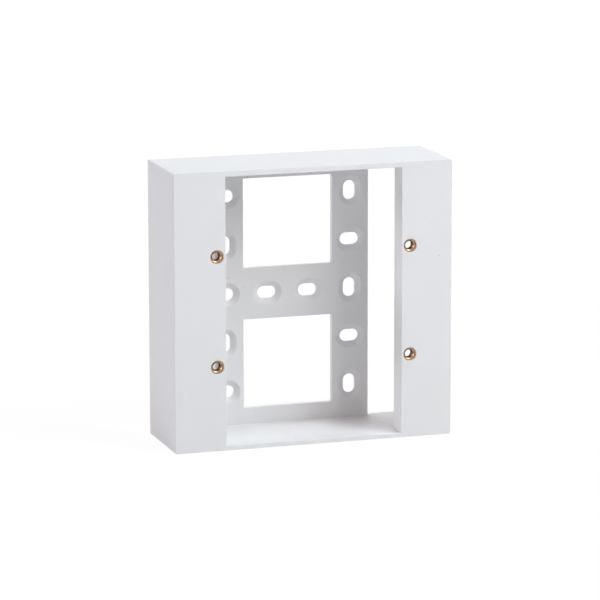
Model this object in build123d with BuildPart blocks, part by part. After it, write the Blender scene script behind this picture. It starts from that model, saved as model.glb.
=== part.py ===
from build123d import *
import math
import os

# Surface mount box for a double wall plate: one open moulding that is screwed to
# the wall through its slotted back plate, with four brass inserts for the plate screws.
# X runs along the long screw spacing, +Z is up and the box opens towards -Y.
# The origin is the middle of the wall face. The box is drawn lying on its side, as it
# stands on a table.

# Outer box
box_width = 120.0
box_height = 116.5
box_depth = 38.7
wall = 2.0
corner_radius = 0.6
front_edge_radius = 0.2

# Plate screws and the brass inserts that take them
screw_spacing_x = 83.5
screw_spacing_z = 46.0
insert_diameter = 5.65
insert_length = 3.6
insert_setback = 1.1
hole_rim_chamfer = 0.2
thread_bore = 3.3
mouth_chamfer = 0.65
rear_chamfer = 0.3
groove_width = 0.9
groove_depth = 0.4
boss_wall = 1.6

# Front strips, and the flange that folds back along the inner edge of each
strip_thickness = 2.0
strip_beyond_insert = 0.875
flange_thickness = 2.0
flange_depth = 9.4
opening_drop = 0.25
opening_edge_radius = 0.15

# Back plate: two columns of slots, joined by a narrow band at each end and a middle bar
plate_thickness = 2.3
plate_gap = 2.45
pattern_drop = 0.5
window_width = 39.0
middle_bar = 22.0
end_band = 7.25
window_edge_radius = 0.15

# Wall screw slots, countersunk from the front
slot_length = 8.15
slot_width = 5.2
recess_width = 9.9
recess_depth = 1.4
recess_rim_chamfer = 0.1
slot_rows = 5
slot_pitch = 20.85
middle_slot_spacing = 18.0

# Step on the long walls where the front core of the mould meets the two rear cores
shut_off_step = 0.05

# Levels and places that follow from these sizes
inner_height = box_height - 2 * wall
inner_half_width = box_width / 2 - wall
screw_x = screw_spacing_x / 2
screw_z = screw_spacing_z / 2
opening_half = screw_x - insert_diameter / 2 - strip_beyond_insert
flange_end = -(box_depth - flange_depth)
strip_back = -(box_depth - strip_thickness)
insert_face = -(box_depth - insert_setback)
boss_end = insert_face + insert_length
plate_half = opening_half - plate_gap
column_x = (window_width / 2 + plate_half) / 2
window_height = (inner_height - middle_bar) / 2 - end_band
window_z = (middle_bar + window_height) / 2
recess_length = slot_length + recess_width - slot_width
cone_angle = math.degrees(math.atan((recess_width - slot_width) / 2 / recess_depth))

core_plane = Plane.XY.offset(-opening_drop)
front_plane = Plane.XZ.offset(box_depth)
strip_back_plane = Plane.XZ.offset(-strip_back)
plate_front_plane = Plane.XZ.offset(plate_thickness)


def column_slots(upright):
    """Centres of the slots of both columns that stand upright, or of those that lie."""
    places = []
    for row in range(slot_rows):
        z = (slot_rows - 1) / 2 * slot_pitch - row * slot_pitch - pattern_drop
        right_is_upright = row % 2 == 0
        side = 1 if right_is_upright == upright else -1
        places.append((side * column_x, z))
    return places


def slot_pattern(length, width):
    """Draw every wall screw slot of the back plate in the current sketch."""
    with Locations(*column_slots(upright=True)):
        SlotOverall(length, width, rotation=90)
    with Locations(*column_slots(upright=False)):
        SlotOverall(length, width)
    with Locations((0, -pattern_drop)):
        with GridLocations(middle_slot_spacing, 0, 2, 1):
            SlotOverall(length, width)


def insert_outline():
    """Half section of an insert's outside: x is the radius, y runs from its face inwards."""
    Rectangle(insert_diameter / 2, insert_length, align=(Align.MIN, Align.MIN))
    with Locations((insert_diameter / 2, insert_length / 2)):
        Rectangle(2 * groove_depth, groove_width, mode=Mode.SUBTRACT)


with BuildPart() as box_body:
    # Outer block
    with BuildSketch(Plane.XZ):
        RectangleRounded(box_width, box_height, corner_radius)
    extrude(amount=box_depth)
    fillet(box_body.faces().sort_by(Axis.Y)[0].edges(), front_edge_radius)

    # Front core: the opening, the faces of the flanges and the bay in front of the plate
    with BuildSketch(core_plane):
        with BuildLine():
            Polyline(
                (0, -box_depth),
                (opening_half, -box_depth),
                (opening_half, flange_end),
                (plate_half, -plate_thickness),
                (0, -plate_thickness),
                close=True,
            )
        make_face()
        mirror(about=Plane.YZ)
    extrude(amount=inner_height / 2, both=True, mode=Mode.SUBTRACT)
    fillet(box_body.faces().sort_by(Axis.Y)[0].inner_wires()[0].edges(), opening_edge_radius)

    # Rear cores: the two wells behind the strips, beside the back plate
    with BuildSketch(core_plane):
        with BuildLine():
            Polyline(
                (plate_half, 0),
                (plate_half, -plate_thickness),
                (opening_half, flange_end),
                (opening_half + flange_thickness, flange_end),
                (opening_half + flange_thickness, strip_back),
                (inner_half_width, strip_back),
                (inner_half_width, 0),
                close=True,
            )
        make_face()
        mirror(about=Plane.YZ)
    extrude(amount=inner_height / 2 - shut_off_step, both=True, mode=Mode.SUBTRACT)

    # Windows for the cables
    with BuildSketch(Plane.XZ):
        with Locations((0, window_z - pattern_drop), (0, -window_z - pattern_drop)):
            Rectangle(window_width, window_height)
    extrude(amount=plate_thickness, mode=Mode.SUBTRACT)
    fillet(box_body.edges(Select.LAST).group_by(Axis.Y)[0], window_edge_radius)

    # Countersunk slots
    with BuildSketch(plate_front_plane):
        slot_pattern(recess_length, recess_width)
    extrude(amount=-recess_depth, taper=cone_angle, mode=Mode.SUBTRACT)
    chamfer(box_body.edges(Select.LAST).group_by(Axis.Y)[0], recess_rim_chamfer)
    with BuildSketch(Plane.XZ):
        slot_pattern(slot_length, slot_width)
    extrude(amount=plate_thickness, mode=Mode.SUBTRACT)

    # Bosses behind the strips, cut flat where they meet the flanges
    with BuildSketch(strip_back_plane):
        with GridLocations(screw_spacing_x, screw_spacing_z, 2, 2):
            Circle(insert_diameter / 2 + boss_wall)
        Rectangle(2 * opening_half, inner_height, mode=Mode.SUBTRACT)
    extrude(amount=strip_back - boss_end)

    # Clearance holes in front of the inserts
    with BuildSketch(front_plane):
        with GridLocations(screw_spacing_x, screw_spacing_z, 2, 2):
            Circle(insert_diameter / 2)
    extrude(amount=-insert_setback, mode=Mode.SUBTRACT)
    chamfer(box_body.edges(Select.LAST).group_by(Axis.Y)[0], hole_rim_chamfer)

    # Pockets that hold the inserts, with a ring of plastic in each groove
    for x in (-screw_x, screw_x):
        for z in (-screw_z, screw_z):
            with BuildSketch(Plane.XY.move(Location((x, insert_face, z)))):
                insert_outline()
            revolve(axis=Axis((x, insert_face, z), (0, 1, 0)), mode=Mode.SUBTRACT)

box_body.part.label = "box_body"
os.makedirs("parts", exist_ok=True)
export_step(box_body.part, "parts/box_body.step")

# The four inserts, each a turned bush with a chamfered mouth
for side, x in (("left", -screw_x), ("right", screw_x)):
    for level, z in (("lower", -screw_z), ("upper", screw_z)):
        with BuildPart() as insert:
            with BuildSketch(Plane.XY.move(Location((x, insert_face, z)))):
                insert_outline()
            revolve(axis=Axis((x, insert_face, z), (0, 1, 0)))
            with BuildSketch(Plane.XZ.offset(-insert_face)):
                with Locations((x, z)):
                    Circle(thread_bore / 2)
            extrude(amount=-insert_length, mode=Mode.SUBTRACT)
            rims = insert.edges(Select.LAST).filter_by(GeomType.CIRCLE).sort_by(Axis.Y)
            chamfer(rims[0], mouth_chamfer)
            chamfer(rims[-1], rear_chamfer)
        insert.part.label = f"insert_{level}_{side}"
        export_step(insert.part, f"parts/{insert.part.label}.step")
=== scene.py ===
import math

import bmesh
import bpy
from mathutils import Matrix, Vector

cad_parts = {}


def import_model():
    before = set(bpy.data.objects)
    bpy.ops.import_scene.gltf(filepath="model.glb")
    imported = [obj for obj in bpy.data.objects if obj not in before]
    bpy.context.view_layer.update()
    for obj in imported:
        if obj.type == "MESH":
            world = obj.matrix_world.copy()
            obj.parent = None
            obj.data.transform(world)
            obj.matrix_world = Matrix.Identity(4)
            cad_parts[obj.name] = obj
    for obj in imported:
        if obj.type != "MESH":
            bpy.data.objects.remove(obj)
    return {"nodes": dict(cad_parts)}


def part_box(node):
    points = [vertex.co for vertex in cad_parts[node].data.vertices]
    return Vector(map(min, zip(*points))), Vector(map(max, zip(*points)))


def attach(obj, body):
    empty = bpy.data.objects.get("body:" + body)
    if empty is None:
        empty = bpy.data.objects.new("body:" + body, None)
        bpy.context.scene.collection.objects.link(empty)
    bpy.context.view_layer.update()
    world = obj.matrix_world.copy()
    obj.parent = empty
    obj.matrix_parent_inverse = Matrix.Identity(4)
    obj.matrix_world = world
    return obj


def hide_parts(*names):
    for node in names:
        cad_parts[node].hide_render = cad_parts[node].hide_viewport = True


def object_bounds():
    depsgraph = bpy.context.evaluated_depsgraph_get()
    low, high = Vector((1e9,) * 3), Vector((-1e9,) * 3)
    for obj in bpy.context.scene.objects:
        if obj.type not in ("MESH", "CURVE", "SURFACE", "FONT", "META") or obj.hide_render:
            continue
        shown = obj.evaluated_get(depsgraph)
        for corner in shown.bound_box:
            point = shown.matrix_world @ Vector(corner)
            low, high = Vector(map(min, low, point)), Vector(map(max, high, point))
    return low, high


# Surface mount box in white moulded plastic with four brass screw inserts, lying on
# its side on a white studio floor. Lengths are in metres unless a name says otherwise.

# Camera, from the photograph. The origin lies aim_right and aim_up of the picture's middle.
image_px = 600
focal_px = 3752.8
sensor_mm = 36.0
azimuth, elevation, roll = (math.radians(v) for v in (-17.799, 11.303, -0.090))
camera_distance = 1.5825
aim_right, aim_up = -0.00586, 0.00463
clip_near, clip_far = 0.1, 50

# Screw inserts, with an M4 thread and a straight knurl
thread_pitch = 0.0007
thread_minor_radius = 0.00165
thread_depth = 0.00033
thread_half_width = 0.42  # of a pitch
thread_rows_per_pitch = 12
mouth_width, mouth_depth = 0.00065, 0.00045
rear_chamfer = 0.0003
groove_width = 0.0009
groove_depth = 0.0004
knurl_teeth = 40
knurl_depth = 0.00012
steps_per_tooth = 4
sharp_edge = math.radians(35)

# Lamps: name, direction as azimuth and elevation in degrees, watts, colour
lamp_distance, lamp_size = 1.8, 0.9
lamps = (
    ("rear left", -140, 20, 14.4, (0.86, 0.88, 1.0)),
    ("right", 55, 45, 14.3, (0.76, 0.97, 1.0)),
    ("rear right", 130, 8, 13.5, (1.0, 0.82, 0.71)),
    ("front right", 35, 32, 12.5, (1.0, 0.93, 0.95)),
    ("rear top", 170, 60, 9.5, (1.0, 0.98, 1.0)),
    ("front left", -55, 8, 8, (1.0, 0.88, 0.87)),
    ("front top", 30, 55, 3.4, (0.92, 0.89, 1.0)),
)
ambient_strength = 0.005

# Floor. The background sees shadow_share of its shading, which fades out between two distances.
floor_half_size, floor_cells, floor_gap = 3.0, 8, 0.0001
floor_albedo = 0.8
floor_white_strength = 1.04
shadow_share, shadow_fade_start, shadow_fade_end = 0.1, 0.25, 0.9

# White plastic. A speck or stain is x, y, z and radius in mm, and the share of its own colour.
plastic_albedo = 0.82
darker_tint, lighter_tint = (-0.015, -0.015, -0.014), (0.015, 0.014, 0.012)
plastic_roughness, roughness_range = 0.42, 0.03
plastic_specular = 0.2
specks_mm = (
    (9.6, -2.3, -52.3, 0.35, 0.3),
    (24.0, -2.3, 10.4, 0.35, 0.35),
    (-26.5, -2.3, 6.7, 0.35, 0.4),
    (-19.5, -2.3, 2.3, 0.3, 0.3),
    (-14.6, -2.3, 2.3, 0.35, 0.3),
    (-14.0, -9.3, -56.25, 0.4, 0.25),
    (-38.4, -38.4, -20.2, 0.3, 0.3),
    (54.4, -38.7, 18.0, 0.35, 0.3),
    (51.0, -38.7, 32.2, 0.45, 0.1),
    (46.0, -38.7, 24.3, 0.5, 0.08),
)
speck_colour = (0.22, 0.2, 0.19)
stain_mm = (9.2, -2.2, 4.0, 0.7, 0.35)
stain_colour = (0.75, 0.5, 0.32)

# Brass. Its darker colour is painted shade in the bore, a darker ring round the outer edge of the face,
# and patchy tarnishing
bright_brass, tarnish_and_shade_brass = (0.51, 0.315, 0.18), (0.095, 0.045, 0.022)
brass_edge_tint = (0.7, 0.5, 0.35, 1)
brass_roughness, tarnish_and_shade_roughness = 0.13, 0.3
insert_radius, rim_darkening_width = 0.002825, 0.0005
# Strength of the painted shade in the bore, and of the patchy tarnishing
bore_painted_shade, patch_tarnish = 0.7, 0.6


def add_nodes(tree, spec):
    """Add nodes named in spec, {name: (type, {input or attribute: value})}, and return them."""
    made = {}
    for name, (kind, values) in spec.items():
        node = tree.nodes.new(kind)
        node.name = node.label = name
        for key, value in values.items():
            if key in node.inputs:
                node.inputs[key].default_value = value
            else:
                setattr(node, key, value)
        made[name] = node
    return made


def link(tree, *pairs):
    """Link (node, output) to (node, input) for each pair."""
    for (source, output), (target, slot) in pairs:
        tree.links.new(source.outputs[output], target.inputs[slot])


def background_rays(tree):
    """Socket that is 1 for camera, glossy and transmission rays, which see the background."""
    n = add_nodes(tree, {
        "rays": ("ShaderNodeLightPath", {}),
        "camera or glossy": ("ShaderNodeMath", {"operation": "MAXIMUM"}),
        "or transmission": ("ShaderNodeMath", {"operation": "MAXIMUM"}),
    })
    link(
        tree,
        ((n["rays"], "Is Camera Ray"), (n["camera or glossy"], 0)),
        ((n["rays"], "Is Glossy Ray"), (n["camera or glossy"], 1)),
        ((n["camera or glossy"], 0), (n["or transmission"], 0)),
        ((n["rays"], "Is Transmission Ray"), (n["or transmission"], 1)),
    )
    return n["or transmission"].outputs[0]


def camera_axes():
    """Right, up and back vectors of the camera, with its small roll."""
    sa, ca, se, ce = math.sin(azimuth), math.cos(azimuth), math.sin(elevation), math.cos(elevation)
    right = Vector((ca, sa, 0))
    back = Vector((sa * ce, -ca * ce, se))
    up = back.cross(right)
    right_rolled = math.cos(roll) * right + math.sin(roll) * up
    up_rolled = math.cos(roll) * up - math.sin(roll) * right
    return right_rolled, up_rolled, back


def make_camera():
    """The photograph's camera."""
    data = bpy.data.cameras.new("camera")
    data.sensor_width = sensor_mm
    data.lens = sensor_mm * focal_px / image_px
    data.clip_start, data.clip_end = clip_near, clip_far
    camera = bpy.data.objects.new("camera", data)
    bpy.context.scene.collection.objects.link(camera)
    right, up, back = camera_axes()
    place = camera_distance * back - aim_right * right - aim_up * up
    camera.matrix_world = Matrix.Translation(place) @ Matrix((right, up, back)).transposed().to_4x4()
    bpy.context.scene.camera = camera


def make_world():
    """Plain white studio: white to the camera and in reflections, with little ambient light."""
    world = bpy.data.worlds.new("studio")
    bpy.context.scene.world = world
    world.use_nodes = True
    tree = world.node_tree
    tree.nodes.clear()
    n = add_nodes(tree, {
        "ambient": ("ShaderNodeBackground", {"Color": (1, 1, 1, 1), "Strength": ambient_strength}),
        "white": ("ShaderNodeBackground", {"Color": (1, 1, 1, 1), "Strength": 1.0}),
        "choose": ("ShaderNodeMixShader", {}),
        "out": ("ShaderNodeOutputWorld", {}),
    })
    tree.links.new(background_rays(tree), n["choose"].inputs[0])
    tree.links.new(n["ambient"].outputs[0], n["choose"].inputs[1])
    tree.links.new(n["white"].outputs[0], n["choose"].inputs[2])
    link(tree, ((n["choose"], 0), (n["out"], "Surface")))


def make_floor(low):
    """White floor under the object, as white as the background, with a soft shadow near the object."""
    material = bpy.data.materials.new("floor_white")
    material.use_nodes = True
    tree = material.node_tree
    tree.nodes.clear()
    n = add_nodes(tree, {
        "paper": ("ShaderNodeBsdfDiffuse", {"Color": (floor_albedo, floor_albedo, floor_albedo, 1)}),
        "white": ("ShaderNodeEmission", {"Color": (1, 1, 1, 1), "Strength": floor_white_strength}),
        "place": ("ShaderNodeTexCoord", {}),
        "distance": ("ShaderNodeVectorMath", {"operation": "LENGTH"}),
        "white share": ("ShaderNodeMapRange", {
            "From Min": shadow_fade_start, "From Max": shadow_fade_end,
            "To Min": 1 - shadow_share, "To Max": 1.0,
        }),
        "share": ("ShaderNodeMath", {"operation": "MULTIPLY"}),
        "choose": ("ShaderNodeMixShader", {}),
        "out": ("ShaderNodeOutputMaterial", {}),
    })
    link(
        tree,
        ((n["place"], "Object"), (n["distance"], 0)),
        ((n["distance"], "Value"), (n["white share"], "Value")),
        ((n["white share"], "Result"), (n["share"], 1)),
        ((n["share"], 0), (n["choose"], 0)),
    )
    tree.links.new(background_rays(tree), n["share"].inputs[0])
    tree.links.new(n["paper"].outputs[0], n["choose"].inputs[1])
    tree.links.new(n["white"].outputs[0], n["choose"].inputs[2])
    link(tree, ((n["choose"], 0), (n["out"], "Surface")))

    mesh = bpy.data.meshes.new("floor")
    bm = bmesh.new()
    bmesh.ops.create_grid(bm, x_segments=floor_cells, y_segments=floor_cells, size=floor_half_size)
    bm.to_mesh(mesh)
    bm.free()
    floor = bpy.data.objects.new("floor", mesh)
    bpy.context.scene.collection.objects.link(floor)
    floor.location = (0, 0, low - floor_gap)
    mesh.materials.append(material)


def make_lamps():
    """Soft square lamps round the object, each aimed at its middle."""
    for name, azimuth_deg, elevation_deg, watts, colour in lamps:
        data = bpy.data.lights.new(name, "AREA")
        data.shape, data.size = "SQUARE", lamp_size
        data.energy, data.color = watts, colour
        lamp = bpy.data.objects.new(name, data)
        bpy.context.scene.collection.objects.link(lamp)
        a, e = math.radians(azimuth_deg), math.radians(elevation_deg)
        back = Vector((math.sin(a) * math.cos(e), -math.cos(a) * math.cos(e), math.sin(e)))
        lamp.location = lamp_distance * back
        lamp.rotation_euler = back.to_track_quat("Z", "Y").to_euler()


def make_insert(node, name, material):
    """Threaded and knurled brass insert in the place of a plain CAD one."""
    low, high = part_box(node)
    centre_x, centre_z = (low.x + high.x) / 2, (low.z + high.z) / 2
    outer = (high.x - low.x) / 2
    length = high.y - low.y
    steps_round = steps_per_tooth * knurl_teeth

    def thread_radius(turn, depth):
        """Radius of the bore: the thread's V groove, or the chamfer of an end where that is wider."""
        phase = (depth / thread_pitch + turn) % 1.0
        groove = max(0.0, 1 - abs(phase - 0.5) / thread_half_width)
        thread = thread_minor_radius + thread_depth * groove
        mouth = thread_minor_radius + mouth_width * (1 - depth / mouth_depth)
        rear = thread_minor_radius + rear_chamfer - (length - depth)
        return max(thread, mouth, rear)

    def knurled(turn, depth):
        """Radius of the outside: straight teeth on two lands, and a plain groove between them."""
        if abs(depth - length / 2) < groove_width / 2:
            return outer - groove_depth
        tooth = abs((turn * knurl_teeth) % 1.0 - 0.5) * 2
        return outer - knurl_depth * (1 - tooth)

    groove_low, groove_high = (length - groove_width) / 2, (length + groove_width) / 2
    edge = 1e-6  # width of the step at each side of the groove
    outside = (0, groove_low, groove_low + edge, groove_high - edge, groove_high, length)
    count = round(thread_rows_per_pitch * length / thread_pitch)
    inside = [length * (1 - i / count) for i in range(count + 1)]
    rows = [(knurled, depth) for depth in outside] + [(thread_radius, depth) for depth in inside]

    bm = bmesh.new()
    rings = []
    for radius_at, depth in rows:
        ring = []
        for i in range(steps_round):
            turn = i / steps_round
            radius = radius_at(turn, depth)
            angle = 2 * math.pi * turn
            ring.append(bm.verts.new((radius * math.cos(angle), depth, radius * math.sin(angle))))
        rings.append(ring)
    for ring, following in zip(rings, rings[1:] + rings[:1]):
        for i in range(steps_round):
            j = (i + 1) % steps_round
            bm.faces.new((ring[i], following[i], following[j], ring[j]))
    bmesh.ops.recalc_face_normals(bm, faces=bm.faces)
    mesh = bpy.data.meshes.new(name)
    bm.to_mesh(mesh)
    bm.free()
    mesh.shade_smooth()
    mesh.set_sharp_from_angle(angle=sharp_edge)
    mesh.materials.append(material)
    insert = bpy.data.objects.new(name, mesh)
    bpy.context.scene.collection.objects.link(insert)
    insert.location = (centre_x, low.y, centre_z)
    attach(insert, "root")
    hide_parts(node)


def spot(tree, coordinates, place_mm, name):
    """Socket that is share inside a small round spot and 0 outside it."""
    x, y, z, radius, share = place_mm
    n = add_nodes(tree, {
        f"{name} distance": ("ShaderNodeVectorMath", {"operation": "DISTANCE"}),
        name: ("ShaderNodeMapRange", {
            "interpolation_type": "SMOOTHSTEP",
            "From Min": radius / 2000, "From Max": radius / 1000, "To Min": share, "To Max": 0.0,
        }),
    })
    n[f"{name} distance"].inputs[1].default_value = (x / 1000, y / 1000, z / 1000)
    tree.links.new(coordinates, n[f"{name} distance"].inputs[0])
    tree.links.new(n[f"{name} distance"].outputs["Value"], n[name].inputs["Value"])
    return n[name].outputs["Result"]


def mix_colour(tree, name, factor, first, second):
    """Socket of a colour mix. first and second are colours or sockets."""
    mix = tree.nodes.new("ShaderNodeMix")
    mix.name = mix.label = name
    mix.data_type = "RGBA"
    tree.links.new(factor, mix.inputs["Factor"])
    for slot, value in ((6, first), (7, second)):
        if isinstance(value, tuple):
            mix.inputs[slot].default_value = (*value, 1)
        else:
            tree.links.new(value, mix.inputs[slot])
    return mix.outputs[2]


def white_plastic():
    """White moulded plastic: even and satin, with a very fine surface, a few dust specks and a stain."""
    material = bpy.data.materials.new("white_plastic")
    material.use_nodes = True
    tree = material.node_tree
    tree.nodes.clear()
    n = add_nodes(tree, {
        "place": ("ShaderNodeTexCoord", {}),
        "clouds": ("ShaderNodeTexNoise", {"Scale": 35.0, "Detail": 3.0, "Roughness": 0.55}),
        "flow": ("ShaderNodeTexNoise", {"Scale": 90.0, "Detail": 2.0, "Roughness": 0.5}),
        "grain": ("ShaderNodeTexNoise", {"Scale": 2200.0, "Detail": 2.0, "Roughness": 0.6}),
        "gloss": ("ShaderNodeMapRange", {
            "From Min": 0.3, "From Max": 0.7,
            "To Min": plastic_roughness - roughness_range,
            "To Max": plastic_roughness + roughness_range,
        }),
        "grain bump": ("ShaderNodeBump", {"Strength": 0.25, "Distance": 0.00002}),
        "flow bump": ("ShaderNodeBump", {"Strength": 0.2, "Distance": 0.00008}),
        "shader": ("ShaderNodeBsdfPrincipled", {"IOR": 1.5, "Specular IOR Level": plastic_specular}),
        "out": ("ShaderNodeOutputMaterial", {}),
    })
    coordinates = n["place"].outputs["Object"]
    for texture in ("clouds", "flow", "grain"):
        tree.links.new(coordinates, n[texture].inputs["Vector"])
    darker = tuple(plastic_albedo + tint for tint in darker_tint)
    lighter = tuple(plastic_albedo + tint for tint in lighter_tint)
    colour = mix_colour(tree, "slight unevenness", n["clouds"].outputs["Fac"], darker, lighter)
    specks = None
    for i, place_mm in enumerate(specks_mm):
        one = spot(tree, coordinates, place_mm, f"speck {i + 1}")
        if specks is None:
            specks = one
        else:
            add = tree.nodes.new("ShaderNodeMath")
            add.operation = "ADD"
            tree.links.new(specks, add.inputs[0])
            tree.links.new(one, add.inputs[1])
            specks = add.outputs[0]
    colour = mix_colour(tree, "dust", specks, colour, speck_colour)
    stain = spot(tree, coordinates, stain_mm, "stain")
    colour = mix_colour(tree, "stained", stain, colour, stain_colour)
    tree.links.new(colour, n["shader"].inputs["Base Color"])
    link(
        tree,
        ((n["clouds"], "Fac"), (n["gloss"], "Value")),
        ((n["gloss"], "Result"), (n["shader"], "Roughness")),
        ((n["flow"], "Fac"), (n["flow bump"], "Height")),
        ((n["flow bump"], "Normal"), (n["grain bump"], "Normal")),
        ((n["grain"], "Fac"), (n["grain bump"], "Height")),
        ((n["grain bump"], "Normal"), (n["shader"], "Normal")),
        ((n["shader"], "BSDF"), (n["out"], "Surface")),
    )
    return material


def brass():
    """Turned brass, golden brown, with painted shade in the bore, darker round the rim, and patchy
    tarnishing.
    """
    material = bpy.data.materials.new("brass")
    material.use_nodes = True
    tree = material.node_tree
    tree.nodes.clear()
    n = add_nodes(tree, {
        "place": ("ShaderNodeTexCoord", {}),
        "flat": ("ShaderNodeVectorMath", {"operation": "MULTIPLY"}),
        "radius": ("ShaderNodeVectorMath", {"operation": "LENGTH"}),
        # Painted shade: the bore is darkened towards the thread
        "bore": ("ShaderNodeMapRange", {
            "From Min": thread_minor_radius, "From Max": thread_minor_radius + mouth_width,
            "To Min": 1.0, "To Max": 0.0,
        }),
        # Darker towards the outer edge of the face
        "rim": ("ShaderNodeMapRange", {
            "From Min": insert_radius - rim_darkening_width, "From Max": insert_radius,
            "To Min": 0.0, "To Max": 1.0,
        }),
        "patches": ("ShaderNodeTexNoise", {"Scale": 700.0, "Detail": 4.0, "Roughness": 0.6}),
        "patch edge": ("ShaderNodeMapRange", {
            "From Min": 0.45, "From Max": 0.8, "To Max": patch_tarnish,
        }),
        "bore or rim": ("ShaderNodeMath", {"operation": "MAXIMUM"}),
        # Sum of the painted shade in the bore, the darker outer edge and the patchy tarnishing
        "tarnish_and_shade": ("ShaderNodeMath", {"operation": "MULTIPLY_ADD", "use_clamp": True}),
        "gloss": ("ShaderNodeMapRange", {
            "To Min": brass_roughness, "To Max": tarnish_and_shade_roughness,
        }),
        "turned": ("ShaderNodeTexNoise", {"Scale": 3000.0, "Detail": 1.0}),
        "bump": ("ShaderNodeBump", {"Strength": 0.3, "Distance": 0.00002}),
        "shader": ("ShaderNodeBsdfPrincipled", {"Metallic": 1.0, "Specular Tint": brass_edge_tint}),
        "out": ("ShaderNodeOutputMaterial", {}),
    })
    n["flat"].inputs[1].default_value = (1, 0, 1)
    n["tarnish_and_shade"].inputs[1].default_value = bore_painted_shade
    coordinates = n["place"].outputs["Object"]
    for texture in ("patches", "turned"):
        tree.links.new(coordinates, n[texture].inputs["Vector"])
    tree.links.new(coordinates, n["flat"].inputs[0])
    link(
        tree,
        ((n["flat"], "Vector"), (n["radius"], 0)),
        ((n["radius"], "Value"), (n["bore"], "Value")),
        ((n["radius"], "Value"), (n["rim"], "Value")),
        ((n["bore"], "Result"), (n["bore or rim"], 0)),
        ((n["rim"], "Result"), (n["bore or rim"], 1)),
        ((n["patches"], "Fac"), (n["patch edge"], "Value")),
        ((n["bore or rim"], 0), (n["tarnish_and_shade"], 0)),
        ((n["patch edge"], "Result"), (n["tarnish_and_shade"], 2)),
        ((n["tarnish_and_shade"], 0), (n["gloss"], "Value")),
        ((n["gloss"], "Result"), (n["shader"], "Roughness")),
        ((n["turned"], "Fac"), (n["bump"], "Height")),
        ((n["bump"], "Normal"), (n["shader"], "Normal")),
        ((n["shader"], "BSDF"), (n["out"], "Surface")),
    )
    tarnish_and_shade = n["tarnish_and_shade"].outputs[0]
    # The dark brass colour stands for painted shade in the bore, the darker outer edge and patchy
    # tarnishing
    colour = mix_colour(tree, "tarnish_and_shade_mix", tarnish_and_shade, bright_brass, tarnish_and_shade_brass)
    tree.links.new(colour, n["shader"].inputs["Base Color"])
    return material


def main():
    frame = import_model()
    cad_low, cad_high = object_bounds()
    make_camera()
    make_world()
    make_floor(cad_low.z)
    make_lamps()
    plastic, metal = white_plastic(), brass()
    for name, node in frame["nodes"].items():
        node.data.materials.clear()
        if name.startswith("insert"):
            node.data.materials.append(metal)
            make_insert(name, name.replace("insert", "threaded_insert"), metal)
        else:
            node.data.materials.append(plastic)
    bpy.context.scene.view_settings.view_transform = "Standard"


main()
